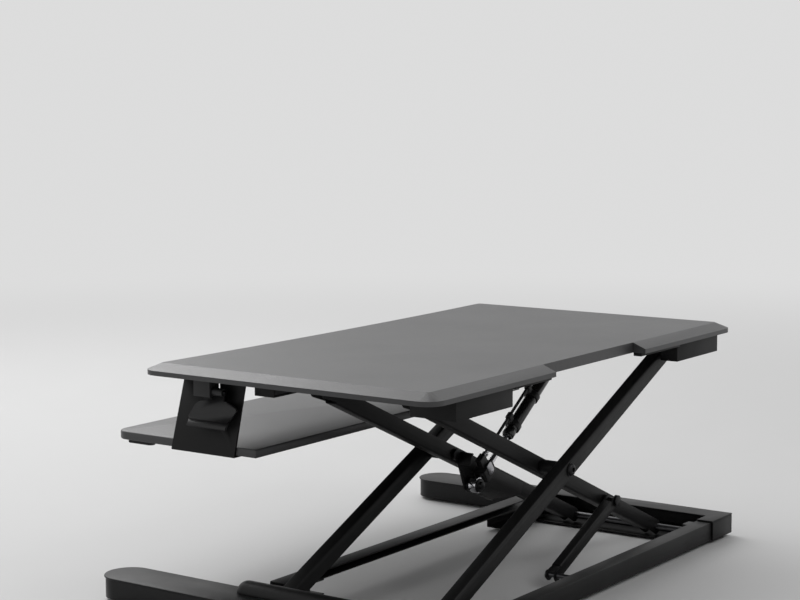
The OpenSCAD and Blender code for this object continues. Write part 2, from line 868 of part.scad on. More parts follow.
// squeeze paddle hung on its pin, with a lip turned outwards
module paddle() {
    y1 = paddle_y0 + paddle_w;
    z1 = paddle_pin_z - 13;
    z0 = z1 - paddle_h;
    difference() {
        union() {
            translate([paddle_x, 0, 0])
                rotate([90, 0, 90])
                    linear_extrude(height = paddle_t)
                        union() {
                            polygon([
                                [paddle_y0 + 1, z0 + 10], [y1 - 17, z0 + 10], [y1 - 13, z0 + 14], [y1, z1 - 12],
                                [y1 - 1, z1 - 8], [y1 - 5, z1 - 5], [neck_y1 + 4, z1], [neck_y0 - 12, z1],
                                [paddle_y0 + 20, z1 - 4], [paddle_y0 + 13, z1 - 9], [paddle_y0, z0 + 14]
                            ]);
                            translate([neck_y0, z1 - 1]) square([neck_y1 - neck_y0, 14]);
                        }
            translate([paddle_x + paddle_t, paddle_y0 + 1, z0 + 10])
                rotate([0, -35, 0])
                    translate([-paddle_t, 0, -11]) cube([paddle_t, paddle_w - 18, 12]);
            bar_y(paddle_x + 1.5, paddle_pin_z, neck_y0, neck_y1, 6);
        }
        bar_y(paddle_x + 1.5, paddle_pin_z, neck_y0 - 1, neck_y1 + 1, paddle_pin_r + run_gap);
    }
}

module paddle_right() color("#333336") paddle();
module paddle_left() color("#333336") mirror([1, 0, 0]) paddle();

// cables held against the underside of the worktop
joiner_y = -140;
stop_x = slide_x + 73;
cable_from = [bracket_out - 10, (mount_y0 + mount_y1) / 2, cable_z];

module cable_right() {
    color("#0f0f10")
        cord(run([15, joiner_y, cable_z], cable_from, 16, 0), cable_r);
}

module cable_left() {
    color("#0f0f10") mirror([1, 0, 0])
        cord(run([15, joiner_y, cable_z], cable_from, 16, 0), cable_r);
}

module cable_main() {
    color("#0f0f10")
        cord(run([stop_x + 8, spring_y, cable_z], [-15, joiner_y + 6, cable_z], 16, 0), cable_r);
}

module cable_joiner() {
    color("#2f2f31")
        difference() {
            block([-18, joiner_y - 9, under_z - 12], [18, joiner_y + 13, under_z]);
            block([-30, joiner_y - cable_r - 0.2, cable_z - cable_r - 0.2], [-14.9, joiner_y + 9, under_z + 1]);
            block([14.9, joiner_y - cable_r - 0.2, cable_z - cable_r - 0.2], [30, joiner_y + 9, under_z + 1]);
        }
}

module cable_stop() {
    color("#2f2f31")
        difference() {
            block([stop_x - 8, spring_y - 6, under_z - 14], [stop_x + 10, spring_y + 6, under_z]);
            block([stop_x + 7.9, spring_y - 3, cable_z - 3], [stop_x + 20, spring_y + 3, under_z + 1]);
        }
}

// screws, a head and a short shank each, with the head hanging down
module screw(x, y, z, grip) {
    translate([x, y, z]) cylinder(r = 2, h = grip);
    translate([x, y, z - 2]) cylinder(r = 4.5, h = 2);
}

module top_screws() {
    z = under_z - sheet;
    color("#8a8a8d") {
        for (x = [hinge_box_x - 8, hinge_box_end + 8, -slide_box_end - 8, -slide_box_x + 8])
            screw(x, rear_tab_y, z, sheet);
        for (x = [hinge_box_x - 8, hinge_front_end + 8, -slide_box_end - 8, -slide_box_x + 8])
            screw(x, front_tab_y, z, sheet);
        for (side = [-1, 1])
            for (y = [-226, -137])
                screw(side * (bracket_x - 12), y, under_z - bracket_t, bracket_t);
    }
}

module tray_screws() {
    color("#8a8a8d")
        for (side = [-1, 1])
            for (y = [-250, -165])
                screw(side * (bracket_x - 12), y, tray_z - bracket_t, bracket_t);
}

in_frame() foot_right();
in_frame() foot_left();
in_frame() foot_cover_right();
in_frame() foot_cover_left();
in_frame() foot_pads();
in_frame() rear_crossbar();
in_frame() front_crossbar();
in_frame() front_channel_right();
in_frame() front_channel_left();
in_frame() side_plates();
in_frame() base_hinge_blocks();
in_frame() hinge_hood();
in_frame() rear_outer_arm();
in_frame() front_outer_arm();
in_frame() base_hinge_shaft();
in_frame() upper_slide_shaft();
in_frame() pivot_bolts();
in_frame() pivot_spacers();
in_frame() rear_inner_arm();
in_frame() front_inner_arm();
in_frame() lower_slide_shaft();
in_frame() top_hinge_shaft();
in_frame() spring_bracket();
in_frame() spring_pin();
in_frame() strut_bolt();
in_frame() strut_arm();
in_frame() strut_pin();
in_frame() strut_glide();
in_frame() lower_glides();
in_frame() upper_glides();
in_frame() gas_cylinder();
in_frame() cable_clips();
in_frame() gas_rod();
in_frame() release_head();
in_frame() spring_cable();
in_frame() worktop();
in_frame() hinge_box_rear();
in_frame() hinge_box_front();
in_frame() slide_box_rear();
in_frame() slide_box_front();
in_frame() top_hinge_blocks();
in_frame() rear_stiffeners();
in_frame() tray_bracket_right();
in_frame() tray_bracket_left();
in_frame() keyboard_tray();
in_frame() tray_bumpers();
in_frame() paddle_mounts();
in_frame() paddle_pins();
in_frame() paddle_right();
in_frame() paddle_left();
in_frame() cable_right();
in_frame() cable_left();
in_frame() cable_main();
in_frame() cable_joiner();
in_frame() cable_stop();
in_frame() top_screws();
in_frame() tray_screws();
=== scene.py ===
"""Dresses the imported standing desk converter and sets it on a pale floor."""
import logging
import math
from dataclasses import dataclass, field
from enum import Enum
from typing import Callable, Iterable, Sequence

import bmesh
import bpy
from mathutils import Matrix, Vector


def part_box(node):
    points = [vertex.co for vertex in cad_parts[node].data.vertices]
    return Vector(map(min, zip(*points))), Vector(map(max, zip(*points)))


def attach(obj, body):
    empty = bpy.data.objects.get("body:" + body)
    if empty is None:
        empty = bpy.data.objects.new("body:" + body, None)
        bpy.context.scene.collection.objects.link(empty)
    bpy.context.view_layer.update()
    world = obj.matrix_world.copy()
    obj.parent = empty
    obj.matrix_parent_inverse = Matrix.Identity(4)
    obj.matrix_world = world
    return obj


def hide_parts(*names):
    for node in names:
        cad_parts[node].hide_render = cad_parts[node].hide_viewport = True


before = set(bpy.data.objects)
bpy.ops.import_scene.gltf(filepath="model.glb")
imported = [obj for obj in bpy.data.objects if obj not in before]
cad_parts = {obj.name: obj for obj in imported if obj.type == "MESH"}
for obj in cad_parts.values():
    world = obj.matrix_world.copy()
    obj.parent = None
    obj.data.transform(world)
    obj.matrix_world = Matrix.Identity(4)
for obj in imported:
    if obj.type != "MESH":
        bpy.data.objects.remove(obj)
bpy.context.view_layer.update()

log = logging.getLogger("converter")
Colour = tuple[float, float, float]
Point = tuple[float, float, float]
Profile = Sequence[tuple[float, float]]

# One millimetre in metres. Meshes are drawn in millimetres, the stage in metres.
MM = 0.001
# Distances in millimetres within which points count as one.
TOUCH = 1e-3
SPIN_TOUCH = 1e-5
CUT_TOUCH = 1e-4
WALL_TOUCH = 1e-2
# Part of a unit normal past which a face counts as facing an axis.
FACING = 0.9
# Angles between faces in degrees: flat below the first, sharp above the others.
FLAT = 0.6
BEVELLED = 12.0
SHARP = 32.0
SQUARE = 50.0
# Faces round a board's corner and round both ends of a fork.
CORNER_STEPS = 10
FORK_STEPS = 28
# The grain's and the mottle's share of a tone, their noise detail, and the mottle's range that
# the sheen follows.
GRAIN_SHARE, MOTTLE_SHARE = 0.45, 0.55
GRAIN_DETAIL, MOTTLE_DETAIL = 3.0, 4.0
SHEEN_RANGE = (0.3, 0.7)
# Blue of a near-neutral grey, against its red and green.
COOL = 1.04


def desk_middle() -> float:
    """Returns the Y of the worktop's middle in millimetres, which the flat sizes count from."""
    low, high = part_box("worktop")
    return (low[1] + high[1]) / 2 / MM


class Body(str, Enum):
    """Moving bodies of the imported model."""

    BASE = "base"
    OUTER = "outer_frame"
    INNER = "inner_frame"
    STAY = "strut"
    STAY_GLIDE = "strut_glide"
    LOWER_GLIDES = "lower_glides"
    UPPER_GLIDES = "upper_glides"
    CYLINDER = "gas_cylinder"
    ROD = "gas_rod"
    TOP = "top"
    PADDLE_RIGHT = "paddle_right"
    PADDLE_LEFT = "paddle_left"


class Axis(Enum):
    """Row axes, as unit vectors."""

    X = (1.0, 0.0, 0.0)
    Y = (0.0, 1.0, 0.0)
    Z = (0.0, 0.0, 1.0)


def node_group(name: str, inputs: dict[str, str], outputs: dict[str, str]) -> bpy.types.NodeTree:
    """Makes an empty shader group with named sockets.

    Args:
        name: name of the group.
        inputs: socket name to its type.
        outputs: socket name to its type.

    Returns:
        The new node tree, with its input and output nodes in it.
    """
    tree = bpy.data.node_groups.new(name, "ShaderNodeTree")
    for way, sockets in (("INPUT", inputs), ("OUTPUT", outputs)):
        for key, kind in sockets.items():
            tree.interface.new_socket(name=key, in_out=way, socket_type=kind)
    tree.nodes.new("NodeGroupInput")
    tree.nodes.new("NodeGroupOutput")
    return tree


def coat_group() -> bpy.types.NodeTree:
    """Makes the shared shader group at the first call: fine grain over a slow mottle.

    Returns:
        The group, with its colour, roughness and height.
    """
    found = bpy.data.node_groups.get("coat_grain")
    if found:
        return found
    flt, col = "NodeSocketFloat", "NodeSocketColor"
    tree = node_group(
        "coat_grain",
        {
            "Vector": "NodeSocketVector", "Grain Scale": flt, "Mottle Scale": flt,
            "Dark": col, "Light": col, "Smooth": flt, "Rough": flt,
        },
        {"Colour": col, "Roughness": flt, "Height": flt},
    )
    nodes, link = tree.nodes, tree.links.new
    ins, outs = nodes["Group Input"].outputs, nodes["Group Output"].inputs
    grain = nodes.new("ShaderNodeTexNoise")
    grain.inputs["Detail"].default_value = GRAIN_DETAIL
    mottle = nodes.new("ShaderNodeTexNoise")
    mottle.inputs["Detail"].default_value = MOTTLE_DETAIL
    link(ins["Vector"], grain.inputs["Vector"])
    link(ins["Vector"], mottle.inputs["Vector"])
    link(ins["Grain Scale"], grain.inputs["Scale"])
    link(ins["Mottle Scale"], mottle.inputs["Scale"])
    speck = nodes.new("ShaderNodeMath")
    speck.operation = "MULTIPLY_ADD"
    speck.inputs[1].default_value = GRAIN_SHARE
    link(grain.outputs["Fac"], speck.inputs[0])
    shade = nodes.new("ShaderNodeMath")
    shade.operation = "MULTIPLY"
    shade.inputs[1].default_value = MOTTLE_SHARE
    link(mottle.outputs["Fac"], shade.inputs[0])
    link(shade.outputs[0], speck.inputs[2])
    tint = nodes.new("ShaderNodeMix")
    tint.data_type = "RGBA"
    link(speck.outputs[0], tint.inputs["Factor"])
    link(ins["Dark"], tint.inputs["A"])
    link(ins["Light"], tint.inputs["B"])
    sheen = nodes.new("ShaderNodeMapRange")
    sheen.inputs["From Min"].default_value, sheen.inputs["From Max"].default_value = SHEEN_RANGE
    link(mottle.outputs["Fac"], sheen.inputs["Value"])
    link(ins["Smooth"], sheen.inputs["To Min"])
    link(ins["Rough"], sheen.inputs["To Max"])
    link(tint.outputs["Result"], outs["Colour"])
    link(sheen.outputs["Result"], outs["Roughness"])
    link(grain.outputs["Fac"], outs["Height"])
    return tree


@dataclass(frozen=True)
class Finish:
    """A procedural finish: grain, mottle and sheen at real scale.

    The depth of the grain is in millimetres. stretch scales the object's
    coordinates before the grain is read, so that drawn steel gets lines
    instead of specks.
    """

    name: str
    slot: str
    dark: Colour
    light: Colour
    smooth: float
    rough: float
    grain: float
    depth: float
    mottle: float = 9.0
    metallic: float = 0.0
    specular: float = 0.5
    coat: float = 0.0
    coat_rough: float = 0.25
    stretch: Point = (1.0, 1.0, 1.0)

    def material(self) -> bpy.types.Material:
        """Makes the material at the first call.

        Returns:
            The material.
        """
        made = bpy.data.materials.get(self.name)
        if made:
            return made
        made = bpy.data.materials.new(self.name)
        made.use_nodes = True
        nodes, link = made.node_tree.nodes, made.node_tree.links.new
        shader = nodes["Principled BSDF"]
        shader.inputs["Metallic"].default_value = self.metallic
        shader.inputs["Specular IOR Level"].default_value = self.specular
        shader.inputs["Coat Weight"].default_value = self.coat
        shader.inputs["Coat Roughness"].default_value = self.coat_rough
        place = nodes.new("ShaderNodeTexCoord")
        turn = nodes.new("ShaderNodeMapping")
        turn.inputs["Scale"].default_value = self.stretch
        grain = nodes.new("ShaderNodeGroup")
        grain.node_tree = coat_group()
        grain.inputs["Grain Scale"].default_value = self.grain
        grain.inputs["Mottle Scale"].default_value = self.mottle
        grain.inputs["Dark"].default_value = (*self.dark, 1.0)
        grain.inputs["Light"].default_value = (*self.light, 1.0)
        grain.inputs["Smooth"].default_value = self.smooth
        grain.inputs["Rough"].default_value = self.rough
        bump = nodes.new("ShaderNodeBump")
        bump.inputs["Strength"].default_value = 1.0
        bump.inputs["Distance"].default_value = self.depth * MM
        link(place.outputs["Object"], turn.inputs["Vector"])
        link(turn.outputs["Vector"], grain.inputs["Vector"])
        link(grain.outputs["Colour"], shader.inputs["Base Color"])
        link(grain.outputs["Roughness"], shader.inputs["Roughness"])
        link(grain.outputs["Height"], bump.inputs["Height"])
        link(bump.outputs["Normal"], shader.inputs["Normal"])
        return made


def grey(value: float) -> Colour:
    """Returns a near-neutral, slightly cool colour."""
    return (value, value, value * COOL)


POWDER = Finish(
    "powder_black", "frame_black", dark=grey(0.003), light=grey(0.008), smooth=0.44, rough=0.58,
    grain=1400.0, depth=0.06, specular=0.22,
)
FOOT = Finish(
    "powder_satin", "foot_grey", dark=grey(0.005), light=grey(0.011), smooth=0.38, rough=0.50,
    grain=1200.0, depth=0.06, specular=0.24,
)
BOARD = Finish(
    "board_laminate", "board_black", dark=grey(0.026), light=grey(0.052), smooth=0.37, rough=0.42,
    grain=520.0, depth=0.30, mottle=5.0, specular=0.60,
)
RUBBER = Finish(
    "pad_rubber", "rubber_black", dark=grey(0.010), light=grey(0.020), smooth=0.72, rough=0.86,
    grain=800.0, depth=0.08,
)
SHAFT = Finish(
    "drawn_steel", "shaft_steel", dark=grey(0.06), light=grey(0.14), smooth=0.28, rough=0.42,
    grain=500.0, depth=0.02, metallic=1.0, stretch=(1.0, 0.04, 1.0),
)
ZINC = Finish(
    "zinc_black", "fastener_steel", dark=grey(0.014), light=grey(0.036), smooth=0.30, rough=0.44,
    grain=700.0, depth=0.02, metallic=1.0,
)
LEVER = Finish(
    "lever_zinc", "fastener_steel", dark=grey(0.34), light=grey(0.48), smooth=0.24, rough=0.38,
    grain=600.0, depth=0.02, metallic=1.0,
)
NYLON = Finish(
    "glide_nylon", "nylon", dark=grey(0.014), light=grey(0.026), smooth=0.46, rough=0.60,
    grain=500.0, depth=0.04,
)
CYLINDER = Finish(
    "cylinder_paint", "cylinder_black", dark=grey(0.006), light=grey(0.012),
    smooth=0.22, rough=0.34, grain=900.0, depth=0.015, coat=0.3,
)
CHROME = Finish(
    "rod_polish", "rod_bright", dark=grey(0.52), light=grey(0.64), smooth=0.10, rough=0.20,
    grain=700.0, depth=0.004, metallic=1.0,
)
SHEATH = Finish(
    "cable_sheath", "cable_black", dark=grey(0.008), light=grey(0.016), smooth=0.40, rough=0.55,
    grain=900.0, depth=0.03,
)
PLASTIC = Finish(
    "moulded_plastic", "plastic_black", dark=grey(0.010), light=grey(0.020),
    smooth=0.42, rough=0.56, grain=1000.0, depth=0.05, specular=0.4,
)
FLOOR = Finish(
    "floor_pale", "none", dark=(0.56, 0.56, 0.56), light=(0.60, 0.60, 0.60),
    smooth=0.55, rough=0.65, grain=300.0, depth=0.02,
)


def sharp_edges(bm: bmesh.types.BMesh, degrees: float = SHARP) -> list[bmesh.types.BMEdge]:
    """Returns the edges whose faces meet at more than the given angle."""
    limit = math.radians(degrees)
    return [e for e in bm.edges if e.is_manifold and e.calc_face_angle(0.0) > limit]


def ease_edges(
    bm: bmesh.types.BMesh, radius: float, segments: int = 2, degrees: float = SHARP
) -> None:
    """Rounds every sharp edge of the mesh.

    Args:
        bm: mesh to round, in the unit of radius.
        radius: size of the rounding.
        segments: faces across one rounding.
        degrees: smallest angle that counts as sharp.
    """
    bmesh.ops.bevel(
        bm, geom=sharp_edges(bm, degrees), offset=radius, offset_type="OFFSET", segments=segments,
        profile=0.5, affect="EDGES", material=-1, clamp_overlap=True, loop_slide=True,
    )


def extrude_face(
    bm: bmesh.types.BMesh, face: bmesh.types.BMFace, step: Point
) -> bmesh.types.BMFace:
    """Extrudes one face and returns the moved face.

    Args:
        bm: mesh that holds the face.
        face: face to pull out.
        step: direction and length of the pull.

    Returns:
        The face at the far end.
    """
    made = bmesh.ops.extrude_face_region(bm, geom=[face])["geom"]
    bmesh.ops.translate(bm, verts=[v for v in made if isinstance(v, bmesh.types.BMVert)], vec=step)
    return next(f for f in made if isinstance(f, bmesh.types.BMFace))


def with_borders(faces: Sequence[bmesh.types.BMFace]) -> list:
    """Gathers faces with their edges and corners.

    Args:
        faces: faces to gather.

    Returns:
        The faces, their edges and their corners, each once.
    """
    edges = [e for f in faces for e in f.edges]
    corners = [v for f in faces for v in f.verts]
    return list(dict.fromkeys([*faces, *edges, *corners]))


def lathe(profile: Profile, start: Vector, axis: Axis, steps: int = 40) -> bmesh.types.BMesh:
    """Spins a profile round an axis.

    Args:
        profile: radius and distance along the axis, from one end to the other.
        start: point of the axis where the distance is zero.
        axis: axis to spin round.
        steps: faces round the axis.

    Returns:
        A closed mesh.
    """
    bm = bmesh.new()
    along = Vector(axis.value)
    out = Vector(Axis.Z.value) if axis is not Axis.Z else Vector(Axis.X.value)
    verts = [bm.verts.new(start + along * d + out * r) for r, d in profile]
    edges = [bm.edges.new(pair) for pair in zip(verts, verts[1:])]
    bmesh.ops.spin(
        bm, geom=verts + edges, cent=start, axis=along, dvec=(0, 0, 0), angle=math.tau,
        steps=steps, use_merge=True,
    )
    bmesh.ops.remove_doubles(bm, verts=bm.verts, dist=SPIN_TOUCH)
    bmesh.ops.recalc_face_normals(bm, faces=bm.faces)
    return bm


def join(meshes: Iterable[bmesh.types.BMesh]) -> bmesh.types.BMesh:
    """Joins meshes.

    Args:
        meshes: meshes to join, which are freed.

    Returns:
        One mesh that holds them all.
    """
    whole = bmesh.new()
    for part in meshes:
        scrap = bpy.data.meshes.new("scrap")
        part.to_mesh(scrap)
        part.free()
        whole.from_mesh(scrap)
        bpy.data.meshes.remove(scrap)
    return whole


def cad_mesh(node: str) -> bmesh.types.BMesh:
    """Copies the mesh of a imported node.

    Args:
        node: name of the node.

    Returns:
        The copy in millimetres, with its corners joined.
    """
    bm = bmesh.new()
    bm.from_mesh(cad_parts[node].data)
    bmesh.ops.scale(bm, vec=(1 / MM, 1 / MM, 1 / MM), verts=bm.verts)
    bmesh.ops.remove_doubles(bm, verts=bm.verts, dist=TOUCH)
    return bm


def cad_copy(node: str, radius: float, segments: int = 2) -> bmesh.types.BMesh:
    """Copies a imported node, merges its triangles and rounds its edges.

    Args:
        node: name of the node.
        radius: rounding of its edges in millimetres.
        segments: faces across one rounding.

    Returns:
        The copy, in millimetres.
    """
    bm = cad_mesh(node)
    bmesh.ops.dissolve_limit(bm, angle_limit=math.radians(FLAT), verts=bm.verts, edges=bm.edges)
    ease_edges(bm, radius, segments)
    return bm


@dataclass
class Piece:
    """A finished mesh on its body.

    Attributes:
        name: name of the piece.
        body: body that it moves with.
        finish: finish of its surface.
        replaces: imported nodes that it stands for.
        smooth: angle in degrees past which an edge is drawn sharp.
    """

    name: str
    body: Body
    finish: Finish
    replaces: tuple[str, ...] = ()
    smooth: float = 38.0

    def make(self, bm: bmesh.types.BMesh) -> bpy.types.Object:
        """Turns a mesh in millimetres into the piece.

        Args:
            bm: the mesh, which is freed.

        Returns:
            The object, placed on its body.
        """
        bmesh.ops.scale(bm, vec=(MM, MM, MM), verts=bm.verts)
        mesh = bpy.data.meshes.new(self.name)
        bm.to_mesh(mesh)
        bm.free()
        mesh.shade_smooth()
        mesh.set_sharp_from_angle(angle=math.radians(self.smooth))
        obj = bpy.data.objects.new(self.name, mesh)
        bpy.context.scene.collection.objects.link(obj)
        return self.dress(obj)

    def dress(self, obj: bpy.types.Object) -> bpy.types.Object:
        """Gives an object its finish, its body and what it stands for.

        Args:
            obj: the object, which has no finish yet.

        Returns:
            The same object.
        """
        obj.data.materials.append(self.finish.material())
        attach(obj, self.body.value)
        if self.replaces:
            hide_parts(*self.replaces)
        log.info("piece %s on %s", self.name, self.body.value)
        return obj


def eased_node(
    node: str, body: Body, finish: Finish, radius: float, segments: int = 2
) -> bpy.types.Object:
    """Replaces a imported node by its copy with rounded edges.

    Args:
        node: name of the node.
        body: body that it moves with.
        finish: finish of its surface.
        radius: rounding in millimetres.
        segments: faces across one rounding.

    Returns:
        The new object.
    """
    return Piece(f"{node}_eased", body, finish, (node,)).make(cad_copy(node, radius, segments))


def tube(points: Sequence[Vector], radius: float, sides: int = 12) -> bmesh.types.BMesh:
    """Sweeps a round section along points.

    Args:
        points: middle line of the tube.
        radius: radius of the tube.
        sides: faces round the tube.

    Returns:
        A closed tube.
    """
    count = len(points)
    places = []
    for i, point in enumerate(points):
        ahead = (points[min(i + 1, count - 1)] - points[max(i - 1, 0)]).normalized()
        turn = ahead.to_track_quat("Z", "Y").to_matrix().to_4x4()
        places.append(Matrix.Translation(point) @ turn)
    bm = bmesh.new()
    bmesh.ops.create_circle(bm, cap_ends=True, radius=radius, segments=sides, matrix=places[0])
    edges = bm.edges[:]
    for before, place in zip(places, places[1:]):
        made = bmesh.ops.extrude_edge_only(bm, edges=edges)["geom"]
        ring = [v for v in made if isinstance(v, bmesh.types.BMVert)]
        edges = [e for e in made if isinstance(e, bmesh.types.BMEdge)]
        bmesh.ops.transform(bm, matrix=place @ before.inverted(), verts=ring)
    bmesh.ops.holes_fill(bm, edges=[e for e in bm.edges if e.is_boundary], sides=0)
    bmesh.ops.recalc_face_normals(bm, faces=bm.faces)
    return bm


@dataclass
class Linkage:
    """Pivots of the scissor in millimetres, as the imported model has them."""

    slope: float = math.radians(24.244)
    low: float = 414.0
    up: float = 354.4
    base_x: float = 392.5
    pivot_z: float = 18.5

    @property
    def middle(self) -> Vector:
        """Middle pivot."""
        x = self.base_x - self.low * math.cos(self.slope)
        z = self.pivot_z + self.low * math.sin(self.slope)
        return Vector((x, 0, z))

    @property
    def slide(self) -> Vector:
        """Upper end of the outer arms."""
        return self.middle + self.up * Vector((-math.cos(self.slope), 0, math.sin(self.slope)))

    @property
    def foot(self) -> Vector:
        """Lower end of the inner arms."""
        return self.middle - self.low * Vector((math.cos(self.slope), 0, math.sin(self.slope)))

    def outer(self, y: float) -> Matrix:
        """Place of an outer arm whose front face is at y."""
        at = Matrix.Translation((self.base_x, y, self.pivot_z))
        return at @ Matrix.Rotation(math.pi + self.slope, 4, "Y")

    def inner(self, y: float) -> Matrix:
        """Place of an inner arm whose front face is at y."""
        at = Matrix.Translation((self.foot.x, y, self.pivot_z))
        return at @ Matrix.Rotation(-self.slope, 4, "Y")


def folded_link(
    length: float, height: float, width: float, wall: float, cut: float, bend: float
) -> bmesh.types.BMesh:
    """Folds a channel with two round fork ends along X.

    The web lies on the low side, and stops short of both ends.

    Args:
        length: distance between the end pivots.
        height: height of the cheeks.
        width: width over the cheeks.
        wall: sheet thickness.
        cut: how far the web stops short of a pivot.
        bend: outer radius of the folds.

    Returns:
        The channel, with its first pivot at the origin.
    """
    half = math.pi / FORK_STEPS
    bm = bmesh.new()
    turn = Matrix.Rotation(math.pi / 2, 4, "X") @ Matrix.Rotation(half, 4, "Z")
    bmesh.ops.create_circle(
        bm, cap_ends=True, radius=height / 2 / math.cos(half), segments=FORK_STEPS, matrix=turn
    )
    bmesh.ops.translate(bm, verts=[v for v in bm.verts if v.co.x > 0], vec=(length, 0, 0))
    extrude_face(bm, bm.faces[:][0], (0, width, 0))
    bmesh.ops.recalc_face_normals(bm, faces=bm.faces)
    cheeks = [f for f in bm.faces if abs(f.normal.y) > FACING]
    web = min((f for f in bm.faces if f not in cheeks), key=lambda f: (f.normal.z, -f.calc_area()))
    gone = [f for f in bm.faces if f not in cheeks and f is not web]
    bmesh.ops.delete(bm, geom=gone, context="FACES")
    for x in (cut, length - cut):
        low = [f for f in bm.faces if f.normal.z < -FACING]
        bmesh.ops.bisect_plane(bm, geom=with_borders(low), plane_co=(x, 0, 0), plane_no=(1, 0, 0))
    spare = [
        f for f in bm.faces
        if f.normal.z < -FACING and not cut < f.calc_center_median().x < length - cut
    ]
    bmesh.ops.delete(bm, geom=spare, context="FACES")
    bmesh.ops.bevel(
        bm, geom=sharp_edges(bm, SQUARE), offset=bend, offset_type="OFFSET", segments=3,
        profile=0.5, affect="EDGES", material=-1,
    )
    bmesh.ops.solidify(bm, geom=bm.faces[:], thickness=wall)
    bmesh.ops.recalc_face_normals(bm, faces=bm.faces)
    return bm


@dataclass
class Scissor:
    """Arms, shafts and middle pivots."""

    link: Linkage = field(default_factory=Linkage)
    height: float = 24.0
    width: float = 22.0
    wall: float = 2.5
    cut: float = 30.0
    bend: float = 3.0
    edge: float = 0.45
    bolt_head: float = 11.0
    head_h: float = 6.0
    nut_out: float = 6.3
    turned: float = 0.9

    def arm(self, node: str, body: Body, place: Callable[[float], Matrix]) -> bpy.types.Object:
        """Builds one arm in the space of its node.

        Args:
            node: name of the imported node.
            body: body that it moves with.
            place: function from the front face's y to the arm's place.

        Returns:
            The arm.
        """
        length = self.link.low + self.link.up
        bm = folded_link(length, self.height, self.width, self.wall, self.cut, self.bend)
        ease_edges(bm, self.edge, degrees=SQUARE)
        bmesh.ops.transform(bm, matrix=place(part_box(node)[0][1] / MM), verts=bm.verts)
        return Piece(f"{node}_folded", body, POWDER, (node,)).make(bm)

    def pivot(self, y_head: float, y_end: float) -> bmesh.types.BMesh:
        """Turns one middle bolt with its washer, domed head and nut.

        Args:
            y_head: face that the head bears on.
            y_end: outer face of the nut.

        Returns:
            The bolt, head outwards.
        """
        way = 1.0 if y_head > y_end else -1.0
        r, end = self.bolt_head, -abs(y_head - y_end)
        dome = [
            (0.0, 2.6), (3.4, 2.6), (3.6, 5.2), (4.6, 5.7), (6.6, 5.2), (8.2, 4.1), (9.1, 2.6),
            (9.4, 1.5),
        ]
        washer = [(r, 1.5), (r, 0.2), (r - 0.3, 0.0), (5.0, 0.0)]
        nut = [(5.0, 6.0), (8.6, 6.0), (9.0, 5.4), (9.0, 0.6), (8.4, 0.0), (0.0, 0.0)]
        profile = dome + washer + [(a, end + d) for a, d in nut]
        at = self.link.middle
        return lathe([(a, way * d) for a, d in profile], Vector((at.x, y_head, at.z)), Axis.Y)

    def build(self) -> None:
        """Makes all the pieces of the frame."""
        for node in ("rear_outer_arm", "front_outer_arm"):
            self.arm(node, Body.OUTER, self.link.outer)
        for node in ("rear_inner_arm", "front_inner_arm"):
            self.arm(node, Body.INNER, self.link.inner)
        lo, hi = (v[1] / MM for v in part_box("pivot_bolts"))
        rear_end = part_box("rear_inner_arm")[0][1] / MM - self.nut_out
        front_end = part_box("front_inner_arm")[1][1] / MM + self.nut_out
        rear = self.pivot(hi - self.head_h, rear_end)
        front = self.pivot(lo + self.head_h, front_end)
        Piece("pivot_bolts_turned", Body.OUTER, ZINC, ("pivot_bolts",)).make(join((rear, front)))
        eased_node("pivot_spacers", Body.OUTER, POWDER, radius=0.6)
        for node, body, finish in (
            ("base_hinge_shaft", Body.OUTER, SHAFT),
            ("upper_slide_shaft", Body.OUTER, SHAFT),
            ("lower_slide_shaft", Body.INNER, SHAFT),
            ("top_hinge_shaft", Body.INNER, SHAFT),
            ("lower_glides", Body.LOWER_GLIDES, NYLON),
            ("upper_glides", Body.UPPER_GLIDES, NYLON),
        ):
            eased_node(node, body, finish, self.turned)


@dataclass
class Stay:
    """Stay between the rear inner arm and the rear crossbar."""

    link: Linkage = field(default_factory=Linkage)
    length: float = 200.0
    height: float = 18.0
    width: float = 16.0
    wall: float = 2.0
    cut: float = 14.0
    bend: float = 2.4
    edge: float = 0.4

    def build(self) -> None:
        """Makes the stay, its bolt, its pin and the block that the pin runs in."""
        turn = self.link.slope
        at = self.link.foot + self.length * Vector((math.cos(turn), 0, math.sin(turn)))
        bm = folded_link(self.length, self.height, self.width, self.wall, self.cut, self.bend)
        bmesh.ops.scale(bm, vec=(1, 1, -1), verts=bm.verts)
        bmesh.ops.recalc_face_normals(bm, faces=bm.faces)
        ease_edges(bm, self.edge, degrees=SQUARE)
        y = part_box("strut_arm")[0][1] / MM
        place = Matrix.Translation((at.x, y, at.z)) @ Matrix.Rotation(turn, 4, "Y")
        bmesh.ops.transform(bm, matrix=place, verts=bm.verts)
        Piece("strut_arm_folded", Body.STAY, POWDER, ("strut_arm",)).make(bm)
        eased_node("strut_bolt", Body.INNER, ZINC, radius=0.7)
        eased_node("strut_pin", Body.STAY, SHAFT, radius=0.6)
        eased_node("strut_glide", Body.STAY_GLIDE, NYLON, radius=0.9)


